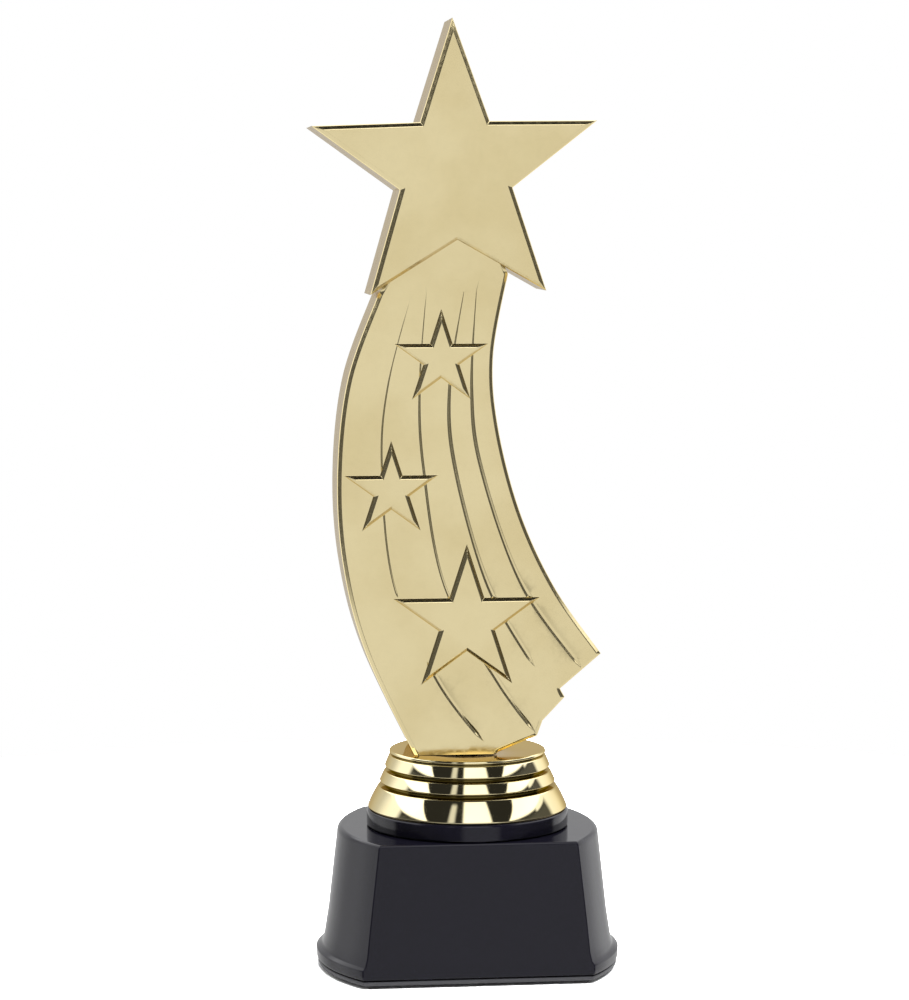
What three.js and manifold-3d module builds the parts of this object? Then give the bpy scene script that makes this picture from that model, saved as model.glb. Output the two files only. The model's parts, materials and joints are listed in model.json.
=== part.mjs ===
// A star trophy: a hollow gold shooting-star figure on a stepped gold collar and a black weighted base.
// Millimetres, +Z up, the front faces -Y. The origin is the centre of the underside.
// One threaded rod on the Z axis clamps the figure, the collar, the seat ring and the base together.

import * as THREE from 'three';
import { mergeVertices } from 'three/addons/utils/BufferGeometryUtils.js';
import Module from 'manifold-3d';

const wasm = await Module();
wasm.setup();

// ---------- Driving dimensions ----------

const GAP = 0.3; // clearance between pieces that touch
const ROUND_SEGMENTS = 24;
const COLLAR_SEGMENTS = 48;

// Heights of the stack, from the table up
const PAD_TOP = 0.6;
const PLATE_BOTTOM = PAD_TOP + GAP;
const PLATE_TOP = 2;
const SPIGOT_TOP = 4.4;
const BASE_BOTTOM = PLATE_TOP + GAP;
const BASE_TOP = 36.4;
const SEAT_BOTTOM = BASE_TOP + GAP;
const SEAT_TOP = 41;
const COLLAR_BOTTOM = SEAT_TOP + GAP;
const COLLAR_TOP = 56.1;
const FIGURE_BOTTOM = COLLAR_TOP + GAP;

// Base: two flat faces and two bulging sides. Each level is height, half width at the middle,
// half depth, and half width of the flat face.
const BASE_LEVELS = [
  { z: BASE_BOTTOM, bulge: 39, depth: 27.2, flat: 29.3 },
  { z: 4.8, bulge: 39.1, depth: 27.1, flat: 29.3 },
  { z: 5.2, bulge: 38.5, depth: 27.1, flat: 29 },
  { z: 5.8, bulge: 37.6, depth: 27.1, flat: 28.6 },
  { z: 8, bulge: 37, depth: 27, flat: 28.1 },
  { z: 15, bulge: 35.9, depth: 26.8, flat: 27.4 },
  { z: 35.1, bulge: 33.6, depth: 26.3, flat: 25.3 },
  { z: 36, bulge: 33.2, depth: 26.2, flat: 25.1 },
  { z: BASE_TOP, bulge: 32.4, depth: 26.1, flat: 24.7 },
];
const BASE_WALL = 2.5;
const BASE_ROOF = 3;
const SIDE_SEGMENTS = 14;
const BOSS_RADIUS = 7;
const BOSS_BOTTOM = 16;
const SCREW_BOSS_RADIUS = 3.6;
const SCREW_BOSS_BOTTOM = SPIGOT_TOP + GAP;
const SCREW_POSITIONS = [[22, 14.5], [-22, 14.5], [22, -14.5], [-22, -14.5]];
const SCREW_RADIUS = 1.4;
const SCREW_HEAD_RADIUS = 3;
const SCREW_TIP = 15;

// Clamp rod and its hardware
const ROD_RADIUS = 3;
const ROD_BOTTOM = 6;
const ROD_TOP = 68;
const ROD_HOLE = ROD_RADIUS + GAP;
const NUT_ACROSS_FLATS = 10;
const NUT_HEIGHT = 5;
const NUT_CORNER = NUT_ACROSS_FLATS / Math.sqrt(3);
const WASHER_RADIUS = 6.5;
const WASHER_THICKNESS = 1.2;
const SPRING_WASHER_RADIUS = 5.2;
const SPRING_WASHER_THICKNESS = 1.5;
const FIGURE_NUT_BOTTOM = 60;

// Ballast ring round the boss
const BALLAST_INNER = BOSS_RADIUS + GAP * 2;
const BALLAST_OUTER = 18.5;
const BALLAST_BOTTOM = 17;
const BALLAST_TOP = BASE_TOP - BASE_ROOF - GAP;

// Seat ring and collar
const SEAT_RADIUS = 26;
const SEAT_WALL = 2.5;
const HUB_RADIUS = 5.5;
const COLLAR_WALL = 1.8;

// Figure
const PENTAGRAM_RATIO = (3 - Math.sqrt(5)) / 2;
const STAR = {
  centre: [-4, 204.4],
  radius: 37.9,
  tilt: THREE.MathUtils.degToRad(1.3),
  waist: 0.395, // reach of the inner corners, as a share of the radius
  notch: 0.46, // the same for the inner corner between the legs
};
const STAR_HALF_DEPTH = 10.6;
const STAR_BEVEL = 1.2;
const TAIL_HALF_DEPTH = 9.6;
const TAIL_BEVEL = 0.9;
const SHELL_WALL = 2;
const RELIEF_STARS = [
  { centre: [-7.7, 157.1], radius: 12.5 },
  { centre: [-20.4, 123.9], radius: 12.5 },
  { centre: [-1.2, 90.3], radius: 19.7 },
];
const RELIEF_HALF_DEPTH = 10.6;
const RELIEF_BEVEL = 0.9;
const GROOVE_HALF_WIDTH = 0.9;
const GROOVE_DEPTH = 0.55;
const EDGE_STEPS = 26;
const GROOVE_STEPS = 22;

// The tail's two long edges and the grooves between its streamers, as x, z from the star down.
// The tail runs on to TAIL_END, and is cut off square at the foot.
const TAIL_END = FIGURE_BOTTOM - 4;
const TAIL_LEFT = [[-23.5, 173.5], [-31.3, 152], [-34, 128], [-32.6, 105], [-26.7, 82], [-12.7, TAIL_END]];
const TAIL_RIGHT = [[9.3, 178.5], [5.6, 158], [6.8, 140], [12.5, 118], [21.5, 98.5], [33.4, 81.5]];
const GROOVES = [
  [[-15.4, 173], [-21.3, 150], [-22.8, 130], [-19.8, 100], [-8.4, 75], [3.4, 59]],
  [[-11.5, 174], [-13.2, 150], [-12.3, 130], [-7, 100], [6.7, 75], [16.9, 61]],
  [[-2, 174], [-5.6, 150], [-4.3, 130], [4.1, 100], [16.5, 78]],
  [[1.2, 174.5], [0, 150], [2.3, 130], [12.8, 100], [28.9, 77.2]],
];

// The streamers' stepped ends, from the right edge's tip back to the foot
const STREAMER_ENDS = [
  [28.8, 77.6], [22.9, 72.6], [24.1, 70.4], [18.4, 64.4], [17, 60.6], [6.8, FIGURE_BOTTOM], [6.8, TAIL_END],
];
const TAIL_HEAD = [[-12, 193], [1, 195]]; // hidden inside the big star

const CAVITY_LOW_LEFT = 78; // the shells are solid below this height, to hold the nut
const CAVITY_LOW_RIGHT = 94;
const PEGS = [
  { at: STAR.centre, bossReach: STAR_HALF_DEPTH - 1 },
  { at: [-14, 138], bossReach: TAIL_HALF_DEPTH - 1 },
  { at: [-8, 106], bossReach: TAIL_HALF_DEPTH - 1 },
];
const PEG_RADIUS = 1.6;
const PEG_BOSS_RADIUS = 3.4;
const PEG_LENGTH = 4;

// ---------- Materials ----------

function finish(color, roughness, metalness) {
  return new THREE.MeshStandardMaterial({ color, roughness, metalness });
}

const gold = () => finish(0xd9c68c, 0.12, 1);
const glossBlack = () => finish(0x141417, 0.15, 0);
const zincSteel = () => finish(0xb4b6b8, 0.35, 1);
const castIron = () => finish(0x55565a, 0.7, 1);
const blackFelt = () => finish(0x1b1b1d, 0.95, 0);

// ---------- Solids ----------

function solidOf(geometry) {
  const bare = geometry.clone();
  bare.deleteAttribute('normal');
  bare.deleteAttribute('uv');
  const merged = mergeVertices(bare, 1e-4);
  return new wasm.Manifold(new wasm.Mesh({
    numProp: 3,
    vertProperties: new Float32Array(merged.attributes.position.array),
    triVerts: new Uint32Array(merged.index.array),
  }));
}

function geometryOf(solid) {
  const { vertProperties, triVerts } = solid.getMesh();
  const geometry = new THREE.BufferGeometry();
  geometry.setAttribute('position', new THREE.BufferAttribute(vertProperties, 3));
  geometry.setIndex(new THREE.BufferAttribute(triVerts, 1));
  return geometry;
}

const unite = (solids) => solids.reduce((whole, solid) => whole.add(solid));
const cutAll = (body, cutters) => cutters.reduce((rest, cutter) => rest.subtract(cutter), body);

// A closed skin over rings of points, each ring convex and with the same number of points
function loft(rings) {
  const count = rings[0].length;
  const triangles = [];
  const quad = (a, b, c, d) => triangles.push(a, b, c, a, c, d);
  for (let level = 0; level < rings.length - 1; level += 1) {
    for (let i = 0; i < count; i += 1) {
      const next = (i + 1) % count;
      const low = level * count;
      const high = low + count;
      quad(low + i, low + next, high + next, high + i);
    }
  }
  const last = (rings.length - 1) * count;
  for (let i = 1; i < count - 1; i += 1) {
    triangles.push(0, i + 1, i);
    triangles.push(last, last + i, last + i + 1);
  }
  const geometry = new THREE.BufferGeometry();
  geometry.setAttribute('position', new THREE.Float32BufferAttribute(rings.flat(2), 3));
  geometry.setIndex(triangles);
  return geometry;
}

function upright(radius, low, high, segments = ROUND_SEGMENTS) {
  const cylinder = new THREE.CylinderGeometry(radius, radius, high - low, segments);
  cylinder.rotateX(Math.PI / 2);
  cylinder.translate(0, 0, (high + low) / 2);
  return cylinder;
}

function uprightAt([x, y], radius, low, high) {
  return upright(radius, low, high, 16).translate(x, y, 0);
}

// A solid of revolution about +Z from a closed list of radius, height
function turned(profile, segments = ROUND_SEGMENTS) {
  const points = profile.map(([r, z]) => new THREE.Vector2(r, z));
  const geometry = new THREE.LatheGeometry(points, segments);
  geometry.rotateX(Math.PI / 2);
  return geometry;
}

const closed = (profile) => [...profile, profile[0]];

// ---------- Base ----------

// One level of the base's outline, anticlockwise from above, drawn in by a wall
function baseRing({ z, bulge, depth, flat }, wall = 0) {
  const halfDepth = depth - wall;
  const halfFlat = flat - wall * 0.8;
  const sag = bulge - wall - halfFlat;
  const radius = (halfDepth ** 2 + sag ** 2) / (2 * sag);
  const halfAngle = Math.asin(halfDepth / radius);
  const centre = bulge - wall - radius;
  const ring = [];
  for (const side of [0, Math.PI]) {
    for (let i = 0; i <= SIDE_SEGMENTS; i += 1) {
      const angle = halfAngle * ((2 * i) / SIDE_SEGMENTS - 1);
      const x = centre + radius * Math.cos(angle);
      const y = radius * Math.sin(angle);
      ring.push([x * Math.cos(side), y * Math.cos(side), z]);
    }
  }
  return ring;
}

function baseShell() {
  const outside = solidOf(loft(BASE_LEVELS.map((level) => baseRing(level))));
  const roof = { ...BASE_LEVELS.at(-3), z: BASE_TOP - BASE_ROOF };
  const floor = { ...BASE_LEVELS[4], z: BASE_BOTTOM - 1 };
  const inside = solidOf(loft([baseRing(floor, BASE_WALL), baseRing(roof, BASE_WALL)]));
  const bossTop = BASE_TOP - 1;
  const boss = solidOf(upright(BOSS_RADIUS, BOSS_BOTTOM, bossTop));
  const screwBosses = SCREW_POSITIONS.map(
    (at) => solidOf(uprightAt(at, SCREW_BOSS_RADIUS, SCREW_BOSS_BOTTOM, bossTop)),
  );
  const screwHoles = SCREW_POSITIONS.map(
    (at) => solidOf(uprightAt(at, SCREW_RADIUS + GAP, SCREW_BOSS_BOTTOM - 1, SCREW_TIP + 1)),
  );
  const rodHole = solidOf(upright(ROD_HOLE, 0, BASE_TOP + 1));
  const body = unite([outside.subtract(inside), boss, ...screwBosses]);
  return geometryOf(cutAll(body, [rodHole, ...screwHoles]));
}

function bottomPlate() {
  const lip = BASE_LEVELS[0];
  const flange = [PLATE_BOTTOM, PLATE_TOP].map((z) => baseRing({ ...lip, z }, GAP));
  const wall = BASE_WALL + 2 * GAP;
  const spigot = [PLATE_TOP - 0.5, SPIGOT_TOP].map((z) => baseRing({ ...BASE_LEVELS[4], z }, wall));
  const plate = unite([solidOf(loft(flange)), solidOf(loft(spigot))]);
  const holes = SCREW_POSITIONS.map(([x, y]) => {
    const wide = SCREW_HEAD_RADIUS + GAP;
    const narrow = SCREW_RADIUS + GAP;
    const cone = [[0, 0], [wide, 0], [wide, PLATE_BOTTOM + 0.7], [narrow, 3.6], [narrow, 6], [0, 6]];
    return solidOf(turned(cone, 16).translate(x, y, 0));
  });
  return geometryOf(cutAll(plate, holes));
}

function plateScrew() {
  const head = PLATE_BOTTOM + 0.1;
  return turned([
    [0, head], [SCREW_HEAD_RADIUS, head], [SCREW_HEAD_RADIUS, head + 0.3], [SCREW_RADIUS, head + 1.9],
    [SCREW_RADIUS, SCREW_TIP - 3], [0, SCREW_TIP],
  ], 16);
}

function feltPad() {
  const lip = BASE_LEVELS[0];
  return loft([0, PAD_TOP].map((z) => baseRing({ ...lip, z }, 1.6)));
}

// ---------- Clamp hardware ----------

function threadedRod() {
  const chamfer = 0.6;
  const tip = ROD_RADIUS - chamfer;
  return turned([
    [0, ROD_BOTTOM], [tip, ROD_BOTTOM], [ROD_RADIUS, ROD_BOTTOM + chamfer],
    [ROD_RADIUS, ROD_TOP - chamfer], [tip, ROD_TOP], [0, ROD_TOP],
  ]);
}

function hexNut(bottom) {
  const blank = solidOf(upright(NUT_CORNER, bottom, bottom + NUT_HEIGHT, 6));
  return geometryOf(blank.subtract(solidOf(upright(ROD_HOLE, bottom - 1, bottom + NUT_HEIGHT + 1))));
}

function washer(radius, top, thickness) {
  const low = top - thickness;
  return turned(closed([[ROD_HOLE, low], [radius, low], [radius, top], [ROD_HOLE, top]]));
}

function springWasher(top) {
  const ring = solidOf(washer(SPRING_WASHER_RADIUS, top, SPRING_WASHER_THICKNESS));
  const slit = new THREE.BoxGeometry(SPRING_WASHER_RADIUS, 0.7, 3 * SPRING_WASHER_THICKNESS);
  slit.rotateX(Math.PI / 6);
  slit.translate(SPRING_WASHER_RADIUS, 0, top - SPRING_WASHER_THICKNESS / 2);
  return geometryOf(ring.subtract(solidOf(slit)));
}

// ---------- Seat ring and collar ----------

function seatRing() {
  const ceiling = SEAT_BOTTOM + 1.5;
  return turned(closed([
    [ROD_HOLE, SEAT_BOTTOM], [BOSS_RADIUS, SEAT_BOTTOM], [BOSS_RADIUS, ceiling],
    [SEAT_RADIUS - SEAT_WALL, ceiling], [SEAT_RADIUS - SEAT_WALL, SEAT_BOTTOM],
    [SEAT_RADIUS, SEAT_BOTTOM], [SEAT_RADIUS, SEAT_TOP - 0.6], [SEAT_RADIUS - 0.6, SEAT_TOP],
    [ROD_HOLE, SEAT_TOP],
  ]), COLLAR_SEGMENTS);
}

// Four rounded bands, each wider than the one above, with a narrow groove between them
const COLLAR_OUTSIDE = [
  [25.7, COLLAR_BOTTOM], [25.8, 42.2], [24.9, 43.8], [23.8, 45.6], [23.1, 46.7], [21.8, 46.9],
  [21.8, 47.9], [22.7, 48.1], [22.4, 49.4], [21.6, 50.6], [20.3, 50.8], [20.3, 51.8],
  [21.3, 52], [21.1, 53.3], [20.6, 54.8], [19.8, 55], [19.8, 55.3], [20.3, 55.5],
  [20.2, 55.9], [19.9, COLLAR_TOP],
];

function riserCollar() {
  const under = COLLAR_TOP - COLLAR_WALL;
  return turned(closed([
    ...COLLAR_OUTSIDE, [ROD_HOLE, COLLAR_TOP], [ROD_HOLE, COLLAR_BOTTOM], [HUB_RADIUS, COLLAR_BOTTOM],
    [HUB_RADIUS, under], [17.8, under], [18.8, 52], [20.2, 47.5], [21.2, 45.9], [23.8, COLLAR_BOTTOM],
  ]), COLLAR_SEGMENTS);
}

// ---------- Figure ----------

const toVectors = (points) => points.map(([x, z]) => new THREE.Vector2(x, z));
const smooth = (points, steps) => new THREE.SplineCurve(toVectors(points)).getSpacedPoints(steps);

// A five-pointed star with one point up, turned anticlockwise by its tilt
function starOutline({ centre: [x, z], radius, tilt = 0, waist = PENTAGRAM_RATIO, notch = waist }) {
  const ratios = [1, waist, 1, waist, 1, notch, 1, waist, 1, waist];
  return ratios.map((ratio, i) => {
    const angle = Math.PI / 2 + tilt + (i * Math.PI) / 5;
    return new THREE.Vector2(x + radius * ratio * Math.cos(angle), z + radius * ratio * Math.sin(angle));
  });
}

function tailOutline() {
  const left = smooth(TAIL_LEFT, EDGE_STEPS);
  const right = smooth(TAIL_RIGHT, EDGE_STEPS - 8).reverse();
  return [...left, ...toVectors(STREAMER_ENDS).reverse(), ...right, ...toVectors(TAIL_HEAD).reverse()];
}

// A plate in the XZ plane, centred on y = 0, with both faces bevelled inside its outline
function slab(outline, halfDepth, bevel) {
  const geometry = new THREE.ExtrudeGeometry(new THREE.Shape(outline), {
    depth: 2 * (halfDepth - bevel),
    steps: 1,
    curveSegments: 1,
    bevelEnabled: bevel > 0,
    bevelThickness: bevel,
    bevelSize: bevel,
    bevelOffset: -bevel,
    bevelSegments: 1,
  });
  geometry.translate(0, 0, bevel - halfDepth);
  geometry.rotateX(Math.PI / 2);
  return solidOf(geometry);
}

// A V groove along a spline, cut into the face on one side
function groove(points, side) {
  const curve = new THREE.SplineCurve(toVectors(points));
  const above = 0.3;
  const face = side * TAIL_HALF_DEPTH;
  const reach = GROOVE_HALF_WIDTH * (1 + above / GROOVE_DEPTH);
  const rings = [];
  for (let i = 0; i <= GROOVE_STEPS; i += 1) {
    const at = curve.getPointAt(i / GROOVE_STEPS);
    const along = curve.getTangentAt(i / GROOVE_STEPS);
    const rim = (sign) => [
      at.x + sign * reach * along.y, face + side * above, at.y - sign * reach * along.x,
    ];
    rings.push([rim(side), rim(-side), [at.x, face - side * GROOVE_DEPTH, at.y]]);
  }
  return solidOf(loft(rings));
}

function figureOutside() {
  const tail = slab(tailOutline(), TAIL_HALF_DEPTH, TAIL_BEVEL);
  const grooves = GROOVES.flatMap((points) => [groove(points, -1), groove(points, 1)]);
  const star = slab(starOutline(STAR), STAR_HALF_DEPTH, STAR_BEVEL);
  const reliefs = RELIEF_STARS.map((relief) => slab(starOutline(relief), RELIEF_HALF_DEPTH, RELIEF_BEVEL));
  return unite([cutAll(tail, grooves), star, ...reliefs]);
}

// The hollow behind the tail's faces, a wall's width inside its two long edges
function tailHollow() {
  const wall = SHELL_WALL + 0.5;
  const inset = (points, side, lowest) => {
    const curve = new THREE.SplineCurve(toVectors(points));
    const line = [];
    for (let i = 0; i <= EDGE_STEPS / 2; i += 1) {
      const at = curve.getPointAt((2 * i) / EDGE_STEPS);
      const along = curve.getTangentAt((2 * i) / EDGE_STEPS);
      const inner = new THREE.Vector2(at.x - side * along.y * wall, at.y + side * along.x * wall);
      if (at.y >= lowest) line.push(inner);
    }
    return line;
  };
  const left = inset(TAIL_LEFT, 1, CAVITY_LOW_LEFT);
  const right = inset(TAIL_RIGHT, -1, CAVITY_LOW_RIGHT).reverse();
  return slab([...left, ...right, new THREE.Vector2(-3, 192)], TAIL_HALF_DEPTH - SHELL_WALL, 0);
}

function starHollow() {
  const inset = (SHELL_WALL + 0.5) / Math.sin(Math.PI / 10);
  const outline = starOutline({ centre: STAR.centre, radius: STAR.radius - inset, tilt: STAR.tilt });
  return slab(outline, STAR_HALF_DEPTH - SHELL_WALL, 0);
}

function crossPin([x, z], radius, front, back) {
  const pin = new THREE.CylinderGeometry(radius, radius, back - front, 16);
  pin.translate(x, (front + back) / 2, z);
  return solidOf(pin);
}

function figureShell(side) {
  const hollow = starHollow().add(tailHollow());
  const far = STAR_HALF_DEPTH + 5;
  const half = new THREE.BoxGeometry(200, far, 400);
  half.translate(0, side * (far / 2 + GAP / 2), FIGURE_BOTTOM + 200);
  const bosses = PEGS.map(({ at, bossReach }) => crossPin(at, PEG_BOSS_RADIUS, -bossReach, bossReach));
  const rodHole = solidOf(upright(ROD_HOLE, FIGURE_BOTTOM - 1, ROD_TOP + 1));
  const pocket = solidOf(upright(
    NUT_CORNER + 2 * GAP, FIGURE_NUT_BOTTOM - GAP, FIGURE_NUT_BOTTOM + NUT_HEIGHT + GAP, 6,
  ));
  const body = unite([figureOutside().subtract(hollow), ...bosses]);
  return cutAll(body, [rodHole, pocket]).intersect(solidOf(half));
}

// The front shell's bosses are bored for the pegs that stand on the back shell's bosses
function figureFrontShell() {
  const sockets = PEGS.map(({ at }) => crossPin(at, PEG_RADIUS + GAP, -PEG_LENGTH - 2 * GAP, 1));
  return geometryOf(cutAll(figureShell(-1), sockets));
}

function figureBackShell() {
  const pegs = PEGS.map(({ at }) => crossPin(at, PEG_RADIUS, -PEG_LENGTH, 1));
  return geometryOf(unite([figureShell(1), ...pegs]));
}

// ---------- Assembly ----------

const trophy = new THREE.Group();

function place(name, geometry, material, [x, y] = [0, 0]) {
  const mesh = new THREE.Mesh(geometry, material);
  mesh.name = name;
  mesh.position.set(x, y, 0);
  trophy.add(mesh);
}

const washerTop = BOSS_BOTTOM - GAP;
const springTop = washerTop - WASHER_THICKNESS - GAP;
const clampNutBottom = springTop - SPRING_WASHER_THICKNESS - GAP - NUT_HEIGHT;

place('figure_front_shell', figureFrontShell(), gold());
place('figure_back_shell', figureBackShell(), gold());
place('figure_nut', hexNut(FIGURE_NUT_BOTTOM), zincSteel());
place('riser_collar', riserCollar(), gold());
place('seat_ring', seatRing(), glossBlack());
place('base_shell', baseShell(), glossBlack());
place('threaded_rod', threadedRod(), zincSteel());
place('clamp_washer', washer(WASHER_RADIUS, washerTop, WASHER_THICKNESS), zincSteel());
place('spring_washer', springWasher(springTop), zincSteel());
place('clamp_nut', hexNut(clampNutBottom), zincSteel());
place('ballast_ring', turned(closed([
  [BALLAST_INNER, BALLAST_BOTTOM], [BALLAST_OUTER, BALLAST_BOTTOM],
  [BALLAST_OUTER, BALLAST_TOP], [BALLAST_INNER, BALLAST_TOP],
]), 32), castIron());
place('bottom_plate', bottomPlate(), glossBlack());
SCREW_POSITIONS.forEach((at, i) => place(`plate_screw_${i + 1}`, plateScrew(), zincSteel(), at));
place('felt_pad', feltPad(), blackFelt());

export default trophy;
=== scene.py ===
import json
import math

import bpy
import numpy as np
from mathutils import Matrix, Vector
from mathutils.geometry import delaunay_2d_cdt


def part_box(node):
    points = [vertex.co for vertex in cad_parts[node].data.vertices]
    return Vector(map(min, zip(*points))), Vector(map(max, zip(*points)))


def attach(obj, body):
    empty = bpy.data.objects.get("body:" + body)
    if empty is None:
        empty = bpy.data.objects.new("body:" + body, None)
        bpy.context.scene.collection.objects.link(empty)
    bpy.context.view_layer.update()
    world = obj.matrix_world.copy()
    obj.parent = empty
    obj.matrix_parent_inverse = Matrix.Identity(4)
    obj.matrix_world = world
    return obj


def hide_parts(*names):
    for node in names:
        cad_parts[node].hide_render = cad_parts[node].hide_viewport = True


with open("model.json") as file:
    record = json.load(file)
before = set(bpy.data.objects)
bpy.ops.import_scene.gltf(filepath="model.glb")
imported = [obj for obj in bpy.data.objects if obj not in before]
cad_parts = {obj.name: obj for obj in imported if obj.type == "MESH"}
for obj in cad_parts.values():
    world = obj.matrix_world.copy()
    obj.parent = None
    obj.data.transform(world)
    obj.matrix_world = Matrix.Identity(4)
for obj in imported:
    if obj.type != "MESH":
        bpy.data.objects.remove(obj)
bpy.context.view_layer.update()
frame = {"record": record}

# A star trophy. Lengths in this script are millimetres until a mesh is made; MM turns them into metres.
# The front faces -Y, and the origin is the centre of the felt pad's underside.

MM = 0.001


def span_mm(node):
    """A CAD node's lowest and highest corner in millimetres."""
    low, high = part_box(node)
    return [v / MM for v in low], [v / MM for v in high]


# ---------- Driving dimensions, from the frame ----------

FIGURE_BOTTOM = span_mm("figure_front_shell")[0][2]
FIGURE_DEPTH = -span_mm("figure_front_shell")[0][1]
COLLAR_BOTTOM, COLLAR_TOP = (corner[2] for corner in span_mm("riser_collar"))
COLLAR_RADIUS = span_mm("riser_collar")[1][0]
SEAT_BOTTOM, SEAT_TOP = (corner[2] for corner in span_mm("seat_ring"))
SEAT_RADIUS = span_mm("seat_ring")[1][0]
BASE_BOTTOM, BASE_TOP = (corner[2] for corner in span_mm("base_shell"))
PLATE_BOTTOM = span_mm("bottom_plate")[0][2]
PAD_TOP = span_mm("felt_pad")[1][2]

COLLAR_BANDS = [  # height and radius at the foot and the head of each band, and how far it bulges
    ((41.3, 25.75), (46.75, 23.0), 0.2),
    ((48.0, 22.7), (50.7, 21.4), 0.05),
    ((51.9, 21.35), (54.85, 20.1), 0.05),
    ((55.4, 20.2), (56.1, 20.0), 0.05),
]
COLLAR_GROOVES = (1.3, 1.2, 0.5)  # how deep the groove above each band is

# ---------- Camera ----------

EYE_DISTANCE = 787
EYE_HEIGHT = 194.5
EYE_AZIMUTH = math.radians(-6.5)
AIM = (-3.3, 0, 120.5)
LENS = 111


def make_camera():
    data = bpy.data.cameras.new("camera")
    data.lens = LENS
    data.sensor_width = 36
    camera = bpy.data.objects.new("camera", data)
    bpy.context.scene.collection.objects.link(camera)
    eye = Vector((
        EYE_DISTANCE * math.sin(EYE_AZIMUTH), -EYE_DISTANCE * math.cos(EYE_AZIMUTH), EYE_HEIGHT,
    ))
    camera.location = eye * MM
    camera.rotation_euler = (Vector(AIM) - eye).to_track_quat("-Z", "Y").to_euler()
    bpy.context.scene.camera = camera


make_camera()

# ---------- Node helpers ----------


class Nodes:
    """A short way to write a node tree: each call adds a node and returns one output, if it has any."""

    def __init__(self, tree):
        self.tree = tree
        self.tree.nodes.clear()

    def add(self, kind, inputs=(), output=0, **settings):
        node = self.tree.nodes.new(kind)
        for name, value in settings.items():
            setattr(node, name, value)
        for name, value in dict(inputs).items():
            self.put(node.inputs[name], value)
        return node.outputs[output] if len(node.outputs) else None

    def put(self, socket, value):
        if isinstance(value, bpy.types.NodeSocket):
            self.tree.links.new(value, socket)
        else:
            socket.default_value = value

    def math(self, operation, *values):
        return self.add("ShaderNodeMath", dict(enumerate(values)), operation=operation)

    def blend(self, factor, first, second):
        return self.add(
            "ShaderNodeMix", {0: factor, 6: first, 7: second}, output=2, data_type="RGBA",
        )

    def ramp_between(self, value, low, high, to_low=0.0, to_high=1.0):
        return self.add(
            "ShaderNodeMapRange", {0: value, 1: low, 2: high, 3: to_low, 4: to_high},
            interpolation_type="SMOOTHSTEP",
        )

    def noise(self, where, scale, detail=3.0, roughness=0.55):
        return self.add(
            "ShaderNodeTexNoise",
            {"Vector": where, "Scale": scale, "Detail": detail, "Roughness": roughness},
        )


# ---------- World, lights and floor ----------


# Angles are in degrees. Azimuth 0 faces the front of the figure, and elevation 0 is level.
SWEEP_TURN = 6.5  # the rear sweep's edges are measured from this azimuth
SWEEP_EDGE, SWEEP_REAR = (98.0, 108.0), (122.0, 146.0)
SWEEP_BRIGHT, SWEEP_DIM = 1.2, 0.69  # its strength near the sides, and behind the trophy
SWEEP_TOP = (40.0, 65.0)
GROUND_TOP, GROUND_GLOW = (-26.0, -10.0), 0.78
SIDES_TURN = -5.0  # the side boxes and the rear fills are the same distance from this azimuth
SIDE_BOX_EDGE, SIDE_BOX_LEAN, SIDE_BOX_SOFT = 22.0, 1.1, 2.0
SIDE_BOX_FOOT, SIDE_BOX_TOP, SIDE_BOX_STRENGTH = (24.0, 27.0), (56.0, 84.0), 1.9
FILL_EDGE, FILL_HEIGHTS, FILL_STRENGTH = (90.0, 96.0), (22.5, 40.0), 1.2
CARDS = [  # azimuths, elevations, strength, and how soft the edges are
    ((-12.0, 31.0), (-40.0, 15.0), 0.78, 5.0),
    ((-11.5, 24.0), (20.0, 56.0), 1.6, 2.5),
    ((-30.0, -22.0), (16.0, 50.0), 0.8, 2.5),
    ((-74.0, -44.0), (-30.0, 8.0), 0.15, 4.0),
    ((46.0, 82.0), (-30.0, 8.0), 0.15, 4.0),
]
ROOM_BLEND, ROOM_LOW, ROOM_HIGH = (19.0, 26.0), 0.1, 0.025  # the dim room, below and above the blend


def sky_angles(n):
    """The azimuth and elevation of each direction."""
    direction = n.add("ShaderNodeTexCoord", output="Generated")
    split = n.tree.nodes.new("ShaderNodeSeparateXYZ")
    n.put(split.inputs[0], direction)
    x, y, z = split.outputs
    degrees = 180 / math.pi
    azimuth = n.math("MULTIPLY", n.math("ARCTAN2", x, n.math("MULTIPLY", y, -1.0)), degrees)
    elevation = n.math("MULTIPLY", n.math("ARCSINE", z), degrees)
    return azimuth, elevation


def window(n, value, span, soft):
    """1 inside the span and 0 outside it, with soft edges."""
    low, high = span
    rise = n.ramp_between(value, low - soft, low + soft)
    fall = n.ramp_between(value, high - soft, high + soft, 1.0, 0.0)
    return n.math("MULTIPLY", rise, fall)


def rear_sweep(n, azimuth, elevation):
    """A pale sweep round the back, dimmer behind the trophy and fading overhead."""
    around = n.math("ABSOLUTE", n.math("SUBTRACT", azimuth, SWEEP_TURN))
    near = n.ramp_between(around, *SWEEP_EDGE, 0.0, SWEEP_BRIGHT)
    rear = n.ramp_between(around, *SWEEP_REAR, SWEEP_BRIGHT, SWEEP_DIM)
    return n.math("MULTIPLY", n.math("MINIMUM", near, rear), n.ramp_between(elevation, *SWEEP_TOP, 1.0, 0.0))


def side_boxes(n, aside, elevation):
    """A high softbox on each side, whose near edge leans outwards as it rises."""
    edge = n.math("MULTIPLY_ADD", elevation, SIDE_BOX_LEAN, SIDE_BOX_EDGE)
    beyond = n.math("SUBTRACT", aside, edge)
    lit = n.ramp_between(beyond, -SIDE_BOX_SOFT, SIDE_BOX_SOFT)
    lit = n.math("MULTIPLY", lit, n.ramp_between(elevation, *SIDE_BOX_FOOT))
    lit = n.math("MULTIPLY", lit, n.ramp_between(elevation, *SIDE_BOX_TOP, 1.0, 0.0))
    return n.math("MULTIPLY", lit, SIDE_BOX_STRENGTH)


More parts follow.
